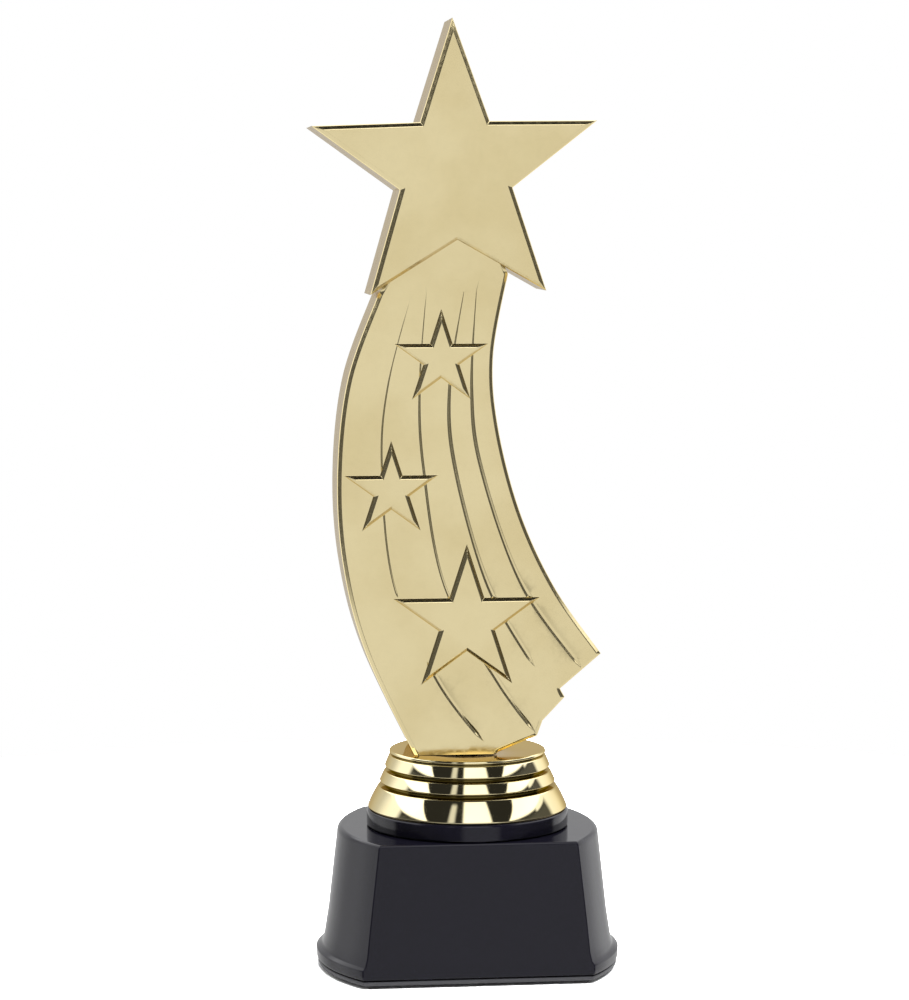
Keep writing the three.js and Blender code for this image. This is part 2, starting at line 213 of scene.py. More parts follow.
def rear_fills(n, aside, elevation):
    """A bright band round the back, which the ends of the collar mirror."""
    across = n.ramp_between(aside, *FILL_EDGE, 0.0, FILL_STRENGTH)
    return n.math("MULTIPLY", across, window(n, elevation, FILL_HEIGHTS, 1.0))


def card(n, azimuth, elevation, azimuths, elevations, strength, soft):
    across = window(n, azimuth, azimuths, soft)
    up = window(n, elevation, elevations, soft)
    return n.math("MULTIPLY", n.math("MULTIPLY", across, up), strength)


def make_world():
    """A dim room with a pale sweep round the back, a glow from below, softboxes high in front and at
    the sides, and dimmer cards in front. The camera itself sees plain white."""
    world = bpy.data.worlds.new("studio")
    world.use_nodes = True
    bpy.context.scene.world = world
    n = Nodes(world.node_tree)
    azimuth, elevation = sky_angles(n)
    aside = n.math("ABSOLUTE", n.math("SUBTRACT", azimuth, SIDES_TURN))
    light = rear_sweep(n, azimuth, elevation)
    others = [
        n.ramp_between(elevation, *GROUND_TOP, GROUND_GLOW, 0.0),
        side_boxes(n, aside, elevation),
        *[card(n, azimuth, elevation, *each) for each in CARDS],
        rear_fills(n, aside, elevation),
        n.ramp_between(elevation, *ROOM_BLEND, ROOM_LOW, ROOM_HIGH),
        n.add("ShaderNodeLightPath", output="Is Camera Ray"),
    ]
    for each in others:
        light = n.math("MAXIMUM", light, each)
    colour = n.add("ShaderNodeCombineColor", {0: light, 1: light, 2: light})
    shade = n.add("ShaderNodeBackground", {"Color": colour, "Strength": 1.0})
    n.add("ShaderNodeOutputWorld", {"Surface": shade})


def make_light(name, location, size, energy):
    data = bpy.data.lights.new(name, "AREA")
    data.shape = "DISK"
    data.size = size
    data.energy = energy
    light = bpy.data.objects.new(name, data)
    bpy.context.scene.collection.objects.link(light)
    light.location = location
    light.rotation_euler = (-Vector(location)).to_track_quat("-Z", "Y").to_euler()
    light.visible_glossy = False
    light.visible_camera = False


def make_floor():
    bpy.ops.mesh.primitive_circle_add(vertices=128, radius=0.34, fill_type="NGON")
    floor = bpy.context.object
    floor.name = "floor"
    material = bpy.data.materials.new("floor")
    material.use_nodes = True
    n = Nodes(material.node_tree)
    shade = n.add("ShaderNodeBsdfDiffuse", {"Color": (0.9, 0.9, 0.9, 1)})
    n.add("ShaderNodeOutputMaterial", {"Surface": shade})
    floor.data.materials.append(material)
    floor.visible_glossy = False


bpy.context.scene.view_settings.view_transform = "Standard"
make_world()
make_light("top_softbox", (0.15, -0.25, 1.2), 1.1, 75)
make_floor()

# ---------- Materials ----------


def material_of(name, build):
    material = bpy.data.materials.new(name)
    material.use_nodes = True
    n = Nodes(material.node_tree)
    where = n.add("ShaderNodeTexCoord", output="Object")
    n.add("ShaderNodeOutputMaterial", {"Surface": build(n, where)})
    return material


def metallised(n, where, deep, pale, edge, rough_low, rough_high, ripple, shade=None):
    """Vacuum-metallised gold over moulded plastic: faint mottling, moulding ripple and haze.
    edge is its tint at a glancing angle. shade is 1 where the colour is left as it is and 0 where painted
    shade darkens it to a dark olive, standing in for the shade in a groove."""
    cloud = n.noise(where, 38.0)
    speckle = n.noise(where, 900.0, 2.0)
    mottle = n.ramp_between(cloud, 0.35, 0.65)
    colour = n.blend(mottle, deep, pale)
    if shade is not None:
        # painted shade: where the mask is 0 the colour turns dark olive, standing in for shade in a recess
        colour = n.blend(shade, (0.11, 0.085, 0.025, 1), colour)
    rough = n.ramp_between(speckle, 0.35, 0.7, rough_low, rough_high)
    wave = n.noise(where, 55.0, 1.0)
    peel = n.noise(where, 700.0, 1.0)
    height = n.math("MULTIPLY_ADD", peel, 0.03, wave)
    bump = n.add("ShaderNodeBump", {"Height": height, "Strength": 1.0, "Distance": ripple})
    return n.add("ShaderNodeBsdfPrincipled", {
        "Base Color": colour, "Metallic": 1.0, "Roughness": rough, "Specular Tint": edge,
        "Normal": bump,
    })


def figure_gold(n, where):
    deep, pale, edge = (0.86, 0.725, 0.40, 1), (0.93, 0.80, 0.465, 1), (0.72, 0.64, 0.52, 1)
    return metallised(n, where, deep, pale, edge, 0.13, 0.2, 0.00012)


def collar_gold(n, where):
    """A mirror finish, with painted shade darkening the grooves between the bands."""
    height = n.add("ShaderNodeSeparateXYZ", {0: where}, output=2)
    # painted shade: this mask is 0 in each groove between bands, where the colour is darkened to stand in
    # for shade
    clear_of_painted_shade = 1.0
    for (_, below, _), (above, _, _) in zip(COLLAR_BANDS, COLLAR_BANDS[1:]):
        low, high = below[0] * MM, above[0] * MM
        under = n.ramp_between(height, low - 0.0001, low + 0.0002, 1.0, 0.0)
        over = n.ramp_between(height, high - 0.0002, high + 0.0001)
        clear_of_painted_shade = n.math("MINIMUM", clear_of_painted_shade, n.math("MAXIMUM", under, over))
    deep, pale, edge = (0.88, 0.77, 0.46, 1), (0.95, 0.86, 0.56, 1), (0.72, 0.58, 0.36, 1)
    return metallised(n, where, deep, pale, edge, 0.035, 0.07, 0.00003, clear_of_painted_shade)


def gloss_black(n, where):
    """Polished black plastic with a faint haze, fine dust and a slight ripple."""
    haze = n.noise(where, 60.0)
    dust = n.noise(where, 1800.0, 2.0)
    rough = n.ramp_between(haze, 0.3, 0.75, 0.07, 0.13)
    tint = n.blend(
        n.ramp_between(dust, 0.6, 0.8), (0.0025, 0.0023, 0.0044, 1), (0.005, 0.005, 0.0075, 1),
    )
    bump = n.add("ShaderNodeBump", {"Height": haze, "Strength": 1.0, "Distance": 0.00006})
    return n.add("ShaderNodeBsdfPrincipled", {
        "Base Color": tint, "Roughness": rough, "IOR": 1.37, "Normal": bump,
    })


def satin_black(n, where):
    grain = n.noise(where, 1400.0, 2.0)
    bump = n.add("ShaderNodeBump", {"Height": grain, "Strength": 0.5, "Distance": 0.00006})
    tint = n.blend(grain, (0.02, 0.02, 0.023, 1), (0.035, 0.035, 0.04, 1))
    rough = n.ramp_between(grain, 0.3, 0.7, 0.35, 0.5)
    return n.add("ShaderNodeBsdfPrincipled", {
        "Base Color": tint, "Roughness": rough, "Normal": bump,
    })


def felt(n, where):
    """Pressed felt: matted fibres, lint flecks and a soft sheen."""
    fibre = n.add("ShaderNodeTexNoise", {
        "Vector": where, "Scale": 900.0, "Detail": 6.0, "Roughness": 0.75, "Distortion": 2.5,
    })
    mat = n.noise(where, 120.0)
    tint = n.blend(n.ramp_between(fibre, 0.35, 0.7), (0.008, 0.008, 0.01, 1), (0.05, 0.05, 0.055, 1))
    height = n.math("ADD", fibre, n.math("MULTIPLY", mat, 0.6))
    bump = n.add("ShaderNodeBump", {"Height": height, "Strength": 1.0, "Distance": 0.0003})
    return n.add("ShaderNodeBsdfPrincipled", {
        "Base Color": tint, "Roughness": 0.95, "Sheen Weight": 0.35, "Normal": bump,
    })


def zinc(n, where):
    spangle = n.add("ShaderNodeTexVoronoi", {"Vector": where, "Scale": 700.0})
    brushed = n.noise(where, 1500.0, 4.0)
    tint = n.blend(spangle, (0.62, 0.64, 0.67, 1), (0.78, 0.79, 0.8, 1))
    rough = n.ramp_between(brushed, 0.3, 0.7, 0.25, 0.42)
    bump = n.add("ShaderNodeBump", {"Height": brushed, "Strength": 0.5, "Distance": 0.00005})
    return n.add("ShaderNodeBsdfPrincipled", {
        "Base Color": tint, "Metallic": 1.0, "Roughness": rough, "Normal": bump,
    })


def cast_iron(n, where):
    sand = n.noise(where, 800.0, 5.0, 0.7)
    tint = n.blend(sand, (0.07, 0.07, 0.075, 1), (0.2, 0.19, 0.18, 1))
    bump = n.add("ShaderNodeBump", {"Height": sand, "Strength": 1.0, "Distance": 0.0004})
    return n.add("ShaderNodeBsdfPrincipled", {
        "Base Color": tint, "Metallic": 1.0, "Roughness": 0.7, "Normal": bump,
    })


MATERIALS = {
    "figure_gold": material_of("figure_gold", figure_gold),
    "collar_gold": material_of("collar_gold", collar_gold),
    "base_black": material_of("base_black", gloss_black),
    "plate_black": material_of("plate_black", satin_black),
    "zinc_steel": material_of("zinc_steel", zinc),
    "cast_iron": material_of("cast_iron", cast_iron),
    "felt": material_of("felt", felt),
}

# ---------- Mesh helpers ----------


def piece_from(name, points, faces, slot, node, normals=None):
    """A piece that replaces a CAD node, from points in millimetres. normals are one per corner."""
    mesh = bpy.data.meshes.new(name)
    mesh.from_pydata([[v * MM for v in p] for p in points], [], faces)
    mesh.validate()
    mesh.shade_smooth()
    if normals is not None:
        mesh.normals_split_custom_set(normals)
    piece = bpy.data.objects.new(name, mesh)
    bpy.context.scene.collection.objects.link(piece)
    mesh.materials.append(MATERIALS[slot])
    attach(piece, "root")
    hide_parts(node)
    return piece


def keep_flats_flat(piece):
    modifier = piece.modifiers.new("weighted_normals", "WEIGHTED_NORMAL")
    modifier.weight = 100
    modifier.keep_sharp = True


def bands_between(rings):
    """Quads between rings of equal length, with a polygon at each end."""
    count = len(rings[0])
    points = [p for ring in rings for p in ring]
    faces = []
    for level in range(len(rings) - 1):
        low, high = level * count, (level + 1) * count
        for i in range(count):
            j = (i + 1) % count
            faces.append((low + i, low + j, high + j, high + i))
    faces.append(tuple(reversed(range(count))))
    faces.append(tuple(range(len(points) - count, len(points))))
    return points, faces


def turned(profile, segments=160):
    """A solid of revolution about Z from a profile of radius, height that closes on itself."""
    points, faces = [], []
    for r, z in profile:
        for i in range(segments):
            angle = 2 * math.pi * i / segments
            points.append((r * math.cos(angle), r * math.sin(angle), z))
    rows = len(profile)
    for row in range(rows):
        low, high = row * segments, (row + 1) % rows * segments
        for i in range(segments):
            j = (i + 1) % segments
            faces.append((low + i, low + j, high + j, high + i))
    return points, faces


def rounded(corners, radius, steps=4):
    """A closed line of points with its corners rounded, each by its own radius."""
    radii = radius if isinstance(radius, (list, tuple)) else [radius] * len(corners)
    line = []
    for i, corner in enumerate(corners):
        here = Vector(corner)
        back = Vector(corners[i - 1]) - here
        ahead = Vector(corners[(i + 1) % len(corners)]) - here
        reach = min(radii[i], back.length / 2.2, ahead.length / 2.2)
        if reach <= 0:
            line.append(tuple(here))
            continue
        start, end = here + back.normalized() * reach, here + ahead.normalized() * reach
        for s in range(steps + 1):
            t = s / steps
            line.append(tuple(start * (1 - t) ** 2 + here * 2 * t * (1 - t) + end * t ** 2))
    return line


# ---------- Figure: outlines ----------

PENTAGRAM_RATIO = (3 - math.sqrt(5)) / 2
BIG_STAR = {
    "centre": (-4, 204.4), "radius": 37.9, "tilt": math.radians(1.3), "waist": 0.395, "notch": 0.46,
}
RELIEF_STARS = [
    {"centre": (-7.7, 157.1), "radius": 12.5},
    {"centre": (-20.4, 123.9), "radius": 12.5},
    {"centre": (-1.2, 90.3), "radius": 19.7},
]
FOOT = COLLAR_TOP + 0.05
TAIL_END = FIGURE_BOTTOM - 4
TAIL_LEFT = [(-23.5, 173.5), (-31.3, 152), (-34, 128), (-32.6, 105), (-26.7, 82), (-12.7, TAIL_END)]
TAIL_RIGHT = [(9.3, 178.5), (5.6, 158), (6.8, 140), (12.5, 118), (21.5, 98.5), (33.4, 81.5)]
STREAMER_ENDS = [
    (28.8, 77.6), (22.9, 72.6), (24.1, 70.4), (18.4, 64.4), (17, 60.6),
    (6.8, FIGURE_BOTTOM), (6.8, TAIL_END),
]
TAIL_HEAD = [(-12, 193), (1, 195)]
GROOVES = [  # the strength of each above and below the lowest star, and its line from the top down
    ((0.5, 1.3), [(-15.4, 173), (-21.3, 150), (-22.8, 130), (-19.8, 100), (-8.4, 75), (3.4, 59)]),
    ((0.7, 1.3), [(-11.5, 174), (-13.2, 150), (-12.3, 130), (-7, 100), (6.7, 75), (16.9, 61)]),
    ((1.0, 1.3), [(-2, 174), (-5.6, 150), (-4.3, 130), (4.1, 100), (16.5, 78)]),
    ((1.0, 1.4), [(1.2, 174.5), (0, 150), (2.3, 130), (12.8, 100), (28.9, 77.2)]),
]
PLAIN_SPOT = (-16, 88)  # in the lowest star's left notch, where the first groove fades away
PLAIN_REACH = (8.8, 10.5)
DEEPENS = (0.6, 0.8)  # the share of a groove's length over which its strength changes
FADES_IN, FADES_OUT = (-10, 40), (0, 4)  # distances from its top and to its end

STAR_BEVEL = 1.0
TAIL_DEPTH = FIGURE_DEPTH - 1
TAIL_BEVEL = 0.9
RELIEF_BEVEL = 0.9
GROOVE_HALF_WIDTH = 0.44
GROOVE_DEPTH = 0.24
GROOVE_SHOULDER = 0.3  # how far the rounding of its upper edges reaches, as a share of the half width
GROOVE_FLOOR_ROUND = 0.012

EDGE_ROUND_WIDTH, EDGE_ROUND_DROP = 0.22, 0.12
CREST_BLEND = 0.2
CREASE_BLEND = 0.12

# Distances from each outline at which the triangles follow it, close together where the face curves
TAIL_INSETS = (0.05, 0.12, 0.22, 0.5, 0.7, 0.8, 0.9, 1.0, 1.15)
STAR_INSETS = (0.05, 0.12, 0.2, 0.3, 0.6, 0.8, 0.9, 1.0, 1.1, 1.25)
RELIEF_INSETS = (-0.3, -0.08, -0.02, 0.05, 0.14, 0.24, 0.5, 0.7, 0.8, 0.9, 1.0, 1.15)
GROOVE_OFFSETS = (0.02, 0.07, 0.17, 0.26, 0.34, 0.42, 0.5, 0.64)

RIM_DROP = 0.14  # how far below the face the rounded rim ends
SEAM_DEPTH, SEAM_INSET = 0.2, 0.06  # the fine groove at the parting line between the halves
SEAM_GAP = 0.02


def spline(points, spacing):
    """Evenly spaced points along a uniform Catmull-Rom curve through the given ones."""
    p = np.array(points, float)
    padded = np.vstack([p[:1], p, p[-1:]])
    fine = []
    for i in range(len(p) - 1):
        a, b, c, d = padded[i:i + 4]
        for t in np.linspace(0, 1, 60, endpoint=i == len(p) - 2):
            fine.append(0.5 * (
                2 * b + (c - a) * t + (2 * a - 5 * b + 4 * c - d) * t ** 2
                + (3 * b - a - 3 * c + d) * t ** 3
            ))
    fine = np.array(fine)
    along = np.concatenate([[0], np.cumsum(np.linalg.norm(np.diff(fine, axis=0), axis=1))])
    at = np.linspace(0, along[-1], max(2, round(along[-1] / spacing)) + 1)
    return np.stack([np.interp(at, along, fine[:, k]) for k in (0, 1)], axis=1)


def star_corners(centre, radius, tilt=0.0, waist=PENTAGRAM_RATIO, notch=None):
    """The ten corners of a five-pointed star with one point up, anticlockwise from the front."""
    ratios = [1, waist, 1, waist, 1, notch or waist, 1, waist, 1, waist]
    corners = []
    for i, ratio in enumerate(ratios):
        angle = math.pi / 2 + tilt + i * math.pi / 5
        reach = radius * ratio
        corners.append((centre[0] + reach * math.cos(angle), centre[1] + reach * math.sin(angle)))
    return np.array(corners)


def drawn_in(corners, inset):
    """A polygon with every edge moved inwards by the same distance."""
    ahead = np.roll(corners, -1, axis=0) - corners
    ahead /= np.linalg.norm(ahead, axis=1)[:, None]
    inward = np.stack([-ahead[:, 1], ahead[:, 0]], axis=1)
    before = np.roll(inward, 1, axis=0)
    mitre = (inward + before) / (1 + (inward * before).sum(axis=1))[:, None]
    return corners + mitre * inset


def subdivided(corners, spacing, tight=0.15):
    """A closed polygon with points along its edges, closer together beside each corner."""
    line = []
    for a, b in zip(corners, np.roll(corners, -1, axis=0)):
        length = np.linalg.norm(b - a)
        steps = max(1, round(length / spacing))
        places = list(np.linspace(0, 1, steps + 1)[:-1])
        if length > 6 * tight:
            places += [tight / length, 1 - tight / length]
        line += [a + (b - a) * t for t in sorted(places)]
    return np.array(line)


def tail_loop():
    left = spline(TAIL_LEFT, 1.0)
    right = spline(TAIL_RIGHT, 1.0)[::-1]
    ends = np.array([TAIL_RIGHT[-1], *STREAMER_ENDS, TAIL_LEFT[-1]], float)[::-1]
    steps = []
    for a, b in zip(ends[:-1], ends[1:]):
        count = max(2, round(np.linalg.norm(b - a) / 0.5))
        steps += [a + (b - a) * t for t in np.linspace(0, 1, count + 1)[1:]]
    return np.vstack([left, steps[:-1], right, np.array(TAIL_HEAD[::-1], float)])


TAIL_LOOP = tail_loop()
STAR_LOOP = subdivided(star_corners(**BIG_STAR), 1.6)
GROOVE_LINES = [(depths, spline(points, 0.7)) for depths, points in GROOVES]

# ---------- Figure: relief height ----------


def distance_to_line(points, line, closed):
    """Each point's distance to a line of points, and how far along the line it is nearest."""
    starts = line if closed else line[:-1]
    ends = np.roll(line, -1, axis=0) if closed else line[1:]
    best = np.full(len(points), np.inf)
    where = np.zeros(len(points))
    along = 0.0
    for a, b in zip(starts, ends):
        step = b - a
        length = np.linalg.norm(step)
        t = np.clip((points - a) @ step / length ** 2, 0, 1)
        gap = np.linalg.norm(points - a - t[:, None] * step, axis=1)
        nearer = gap < best
        best[nearer] = gap[nearer]
        where[nearer] = along + t[nearer] * length
        along += length
    return best, where


def is_inside(points, loop):
    inside = np.zeros(len(points), bool)
    for a, b in zip(loop, np.roll(loop, -1, axis=0)):
        spans = (a[1] > points[:, 1]) != (b[1] > points[:, 1])
        if not spans.any():
            continue
        cross = a[0] + (points[:, 1] - a[1]) * (b[0] - a[0]) / (b[1] - a[1])
        inside ^= spans & (points[:, 0] < cross)
    return inside


def star_inset(points, star):
    """How far inside a star's outline each point is, measured square to its nearest edge."""
    corners = star_corners(**star)
    offset = points - np.array(star["centre"])
    turn = np.arctan2(offset[:, 1], offset[:, 0]) - math.pi / 2 - star.get("tilt", 0.0)
    tip = np.round(turn / (2 * math.pi / 5)).astype(int) % 5
    gaps = []
    for a, b in zip(corners, np.roll(corners, -1, axis=0)):
        inward = np.array([a[1] - b[1], b[0] - a[0]]) / np.linalg.norm(b - a)
        gaps.append((points - a) @ inward)
    gaps = np.array(gaps)
    everyone = np.arange(len(points))
    return np.minimum(gaps[2 * tip, everyone], gaps[2 * tip - 1, everyone])


def bevelled(inset, top, bevel, below=3.0):
    """The height of a plate with a bevelled and slightly rounded edge at a given inset."""
    slope = np.where(inset < 0, inset * below, inset)
    height = top - bevel + slope
    edge = np.clip(1 - np.clip(inset, 0, None) / EDGE_ROUND_WIDTH, 0, 1)
    height = height - EDGE_ROUND_DROP * edge ** 2
    return smooth_min(height, np.full_like(height, top), CREST_BLEND)


def smooth_min(a, b, blend):
    overlap = np.clip(blend - np.abs(a - b), 0, None)
    return np.minimum(a, b) - overlap ** 2 / (4 * blend)


def smooth_max(a, b, blend):
    return -smooth_min(-a, -b, blend)


def eased(value, low, high):
    t = np.clip((value - low) / (high - low), 0, 1)
    return t * t * (3 - 2 * t)


def groove_cut(points):
    """How deep the grooves cut at each point. Each fades in below the star and is deepest low down."""
    cut = np.zeros(len(points))
    soft, floor = GROOVE_SHOULDER, GROOVE_FLOOR_ROUND
    plain = eased(np.linalg.norm(points - np.array(PLAIN_SPOT), axis=1), *PLAIN_REACH)
    for (above, below), line in GROOVE_LINES:
        gap, along = distance_to_line(points, line, False)
        length = np.linalg.norm(np.diff(line, axis=0), axis=1).sum()
        strength = above + (below - above) * eased(along / length, *DEEPENS)
        fade = plain * strength * eased(along, *FADES_IN) * eased(length - along, *FADES_OUT)
        depth, half = GROOVE_DEPTH * fade, GROOVE_HALF_WIDTH * np.clip(fade, 0.25, 1.35)
        across = (np.sqrt(gap ** 2 + floor ** 2) - floor) / half - 1
        wall = np.where(across < -soft, -across, np.clip(soft - across, 0, None) ** 2 / (4 * soft))
        cut = np.maximum(cut, depth * wall)
    return cut


def relief_height(points):
    """How far the figure's face stands from the parting plane at each point."""
    edge, _ = distance_to_line(points, TAIL_LOOP, True)
    inset = np.where(is_inside(points, TAIL_LOOP), edge, -edge)
    height = bevelled(inset, TAIL_DEPTH, TAIL_BEVEL, below=12.0) - groove_cut(points)
    for relief in RELIEF_STARS:
        star = bevelled(star_inset(points, relief), FIGURE_DEPTH, RELIEF_BEVEL)
        height = smooth_max(height, star, CREASE_BLEND)
    star = bevelled(star_inset(points, BIG_STAR), FIGURE_DEPTH, STAR_BEVEL)
    return smooth_max(height, star, CREASE_BLEND)


def relief_normals(points):
    step = 0.02
    slopes = []
    for axis in (0, 1):
        shift = np.zeros(2)
        shift[axis] = step
        slopes.append((relief_height(points + shift) - relief_height(points - shift)) / (2 * step))
    normals = np.stack([-slopes[0], -np.ones(len(points)), -slopes[1]], axis=1)
    return normals / np.linalg.norm(normals, axis=1)[:, None]


# ---------- Figure: triangulated relief ----------


def beside(line, offset, closed):
    """The line moved sideways, without the points that would then lie too near the line."""
    ahead = np.roll(line, -1, axis=0) - line if closed else np.gradient(line, axis=0)
    if closed:
        back = line - np.roll(line, 1, axis=0)
        ahead = ahead / np.linalg.norm(ahead, axis=1)[:, None]
        back = back / np.linalg.norm(back, axis=1)[:, None]
        sides = [np.stack([-v[:, 1], v[:, 0]], axis=1) for v in (ahead, back)]
        total = sides[0] + sides[1]
        normal = total / np.clip((total * total).sum(1) / 2, 0.3, None)[:, None]
    else:
        tangent = ahead / np.linalg.norm(ahead, axis=1)[:, None]
        normal = np.stack([-tangent[:, 1], tangent[:, 0]], axis=1)
    moved = line + normal * offset
    gap, _ = distance_to_line(moved, line, closed)
    return moved[gap > abs(offset) * 0.97]


def relief_lines():
    """Closed and open lines that the triangles follow, so that each crease is a clean edge."""
    closed, free = [TAIL_LOOP, STAR_LOOP], [line for _, line in GROOVE_LINES]
    for inset in TAIL_INSETS:
        closed.append(beside(TAIL_LOOP, inset, True))
    for inset in STAR_INSETS:
        closed.append(subdivided(drawn_in(star_corners(**BIG_STAR), inset), 1.6))
    for relief in RELIEF_STARS:
        for inset in RELIEF_INSETS:
            closed.append(subdivided(drawn_in(star_corners(**relief), inset), 1.2, 0.1))
    for _, line in GROOVE_LINES:
        for offset in GROOVE_OFFSETS:
            free += [beside(line, offset, False), beside(line, -offset, False)]
    for star in [BIG_STAR, *RELIEF_STARS]:
        for corner in star_corners(**star):
            free.append(np.array([corner, star["centre"]]))
    for lift in (0.0, 0.15):
        free.append(np.array([(x, FOOT + lift) for x in np.arange(-30.0, 30.0, 0.8)]))
    return closed, free


def triangulated_face():
    """Points and triangles that fill the figure's outline, down to its foot."""
    points, edges = [], []
    closed, free = relief_lines()
    for lines, is_closed in ((closed, True), (free, False)):
        for line in lines:
            first = len(points)
            points += [Vector(p) for p in line]
            count = len(line)
            edges += [(first + i, first + i + 1) for i in range(count - 1)]
            if is_closed:
                edges.append((first + count - 1, first))
    found = delaunay_2d_cdt(points, edges, [], 0, 1e-4)
    flat = np.array([tuple(p) for p in found[0]])
    triangles = np.array(found[2])
    middle = flat[triangles].mean(axis=1)
    inside = is_inside(middle, TAIL_LOOP) | is_inside(middle, STAR_LOOP)
    kept = triangles[inside & (middle[:, 1] > FOOT)]
    used, kept = np.unique(kept, return_inverse=True)
    return flat[used], kept.reshape(-1, 3)


def outline_of(triangles):
    """The loop of points round a set of triangles, with the filled side on the left."""
    edges = {}
    for a, b, c in triangles:
        for edge in ((a, b), (b, c), (c, a)):
            edges[edge] = True
    follows = {a: b for a, b in edges if (b, a) not in edges}
    start = next(iter(follows))
    loop = [start]
    while follows[loop[-1]] != start:
        loop.append(follows[loop[-1]])
    return loop


def filled(loop):
    """Triangles that fill a closed line of points, as places in the line."""
    count = len(loop)
    edges = [(i, (i + 1) % count) for i in range(count)]
    found = delaunay_2d_cdt([Vector(p) for p in loop], edges, [], 1, 1e-6)
    place = np.array(loop)
    source = [int(np.argmin(((place - np.array(p)) ** 2).sum(axis=1))) for p in found[0]]
    faces = [tuple(source[i] for i in face) for face in found[2]]
    return [face for face in faces if len(set(face)) == len(face)]


def figure_half():
    """The front half of the figure: its points, faces and one normal per face corner."""
    flat, triangles = triangulated_face()
    loop = outline_of(triangles)
    count = len(loop)
    height = relief_height(flat)
    rim = flat[loop]
    ahead = np.roll(rim, -1, axis=0) - rim
    ahead /= np.linalg.norm(ahead, axis=1)[:, None]
    ahead += np.roll(ahead, 1, axis=0)
    ahead /= np.linalg.norm(ahead, axis=1)[:, None]
    outward = np.stack([ahead[:, 1], -ahead[:, 0]], axis=1)

    def facing(sideways, depth):
        out_x, out_z = outward.T * sideways
        normals = np.stack([out_x, np.full(count, depth), out_z], axis=1)
        return normals / np.linalg.norm(normals, axis=1)[:, None]

    face_normals = relief_normals(flat)
    face_normals[loop] = relief_normals(rim - outward * 0.04)
    points = [(x, -h, z) for (x, z), h in zip(flat, height)]
    corners = [tuple(face_normals[i]) for i in triangles.ravel()]
    normals = {i: normal for i, normal in zip(loop, facing(0.9, -0.44))}
    rows = [list(loop)]
    levels = [
        (height[loop] - RIM_DROP, 0.0, facing(1.0, 0.0)),
        (np.full(count, SEAM_DEPTH), 0.0, facing(1.0, 0.0)),
        (np.full(count, SEAM_GAP), SEAM_INSET, facing(0.7, 0.7)),
    ]
    for depths, inset, row_normals in levels:
        rows.append(list(range(len(points), len(points) + count)))
        for (x, z), (out_x, out_z), depth in zip(rim, outward, depths):
            points.append((x - out_x * inset, -depth, z - out_z * inset))
        normals.update(zip(rows[-1], row_normals))
    faces = [tuple(t) for t in triangles]
    for upper, lower in zip(rows, rows[1:]):
        for i in range(count):
            j = (i + 1) % count
            face = (upper[j], upper[i], lower[i], lower[j])
            faces.append(face)
            corners += [tuple(normals[k]) for k in face]
    for face in filled([(points[i][0], points[i][2]) for i in rows[-1]]):
        faces.append(tuple(rows[-1][i] for i in reversed(face)))
        corners += [(0.0, 1.0, 0.0)] * len(face)
    return points, faces, corners


def mirrored(points, faces, corners):
    """The same half turned into the back half."""
    points = [(x, -y, z) for x, y, z in points]
    turned_corners = []
    start = 0
    for face in faces:
        turned_corners += [(x, -y, z) for x, y, z in reversed(corners[start:start + len(face)])]
        start += len(face)
    return points, [tuple(reversed(face)) for face in faces], turned_corners


def make_figure():
    half = figure_half()
    for name, node, (points, faces, corners) in (
        ("gold_figure_front", "figure_front_shell", half),
        ("gold_figure_back", "figure_back_shell", mirrored(*half)),
    ):
        piece_from(name, points, faces, "figure_gold", node, corners)


make_figure()

# ---------- Collar and seat ring ----------

BORE = 3.3  # radius of the hole for the rod
RIM_ROUND = 0.2


def band_profile(foot, head, bulge):
    """A band's outer face from foot to head, with rounded rims."""
    line = []
    steps = 24
    for i in range(steps + 1):
        t = (1 - math.cos(math.pi * i / steps)) / 2
        z = foot[0] + (head[0] - foot[0]) * t
        r = foot[1] + (head[1] - foot[1]) * t + bulge * 4 * t * (1 - t)
        rim = min(t, 1 - t) * abs(head[0] - foot[0])
        r -= RIM_ROUND * max(0, 1 - rim / RIM_ROUND) ** 2
        line.append((r, z))
    return line


def collar_profile():
    line = [(COLLAR_RADIUS - 0.35, COLLAR_BOTTOM)]
    for i, (foot, head, bulge) in enumerate(COLLAR_BANDS):
        if i:
            below = COLLAR_BANDS[i - 1][1]
            depth = min(below[1], foot[1]) - COLLAR_GROOVES[i - 1]
            middle = (below[0] + foot[0]) / 2
            line += [(depth + 0.1, below[0] + 0.08), (depth, middle), (depth + 0.1, foot[0] - 0.08)]
        line += band_profile(foot, head, bulge)
    line[-1] = (line[-1][0], COLLAR_TOP)
    line.append((line[-1][0] - 0.2, COLLAR_TOP))
    under = COLLAR_TOP - 1.8
    inside = [(BORE, COLLAR_TOP), (BORE, COLLAR_BOTTOM), (5.5, COLLAR_BOTTOM), (5.5, under)]
    inside += [(17.8, under), (19.2, 50), (21.2, 45.9), (23.8, COLLAR_BOTTOM)]
    return line + inside


def make_collar():
    points, faces = turned(collar_profile())
    piece = piece_from("gold_riser_collar", points, faces, "collar_gold", "riser_collar")
    keep_flats_flat(piece)


def make_seat_ring():
    ceiling = SEAT_BOTTOM + 1.5
    corners = [
        (BORE, SEAT_BOTTOM), (7, SEAT_BOTTOM), (7, ceiling), (SEAT_RADIUS - 2.5, ceiling),
        (SEAT_RADIUS - 2.5, SEAT_BOTTOM), (SEAT_RADIUS, SEAT_BOTTOM), (SEAT_RADIUS, SEAT_TOP),
        (BORE, SEAT_TOP),
    ]
    profile = rounded(corners, [0, 0, 0, 0, 0.2, 0.4, 0.9, 0], 6)
    points, faces = turned(profile)
    piece = piece_from("black_seat_ring", points, faces, "base_black", "seat_ring")
    keep_flats_flat(piece)


make_collar()
make_seat_ring()

# ---------- Base ----------

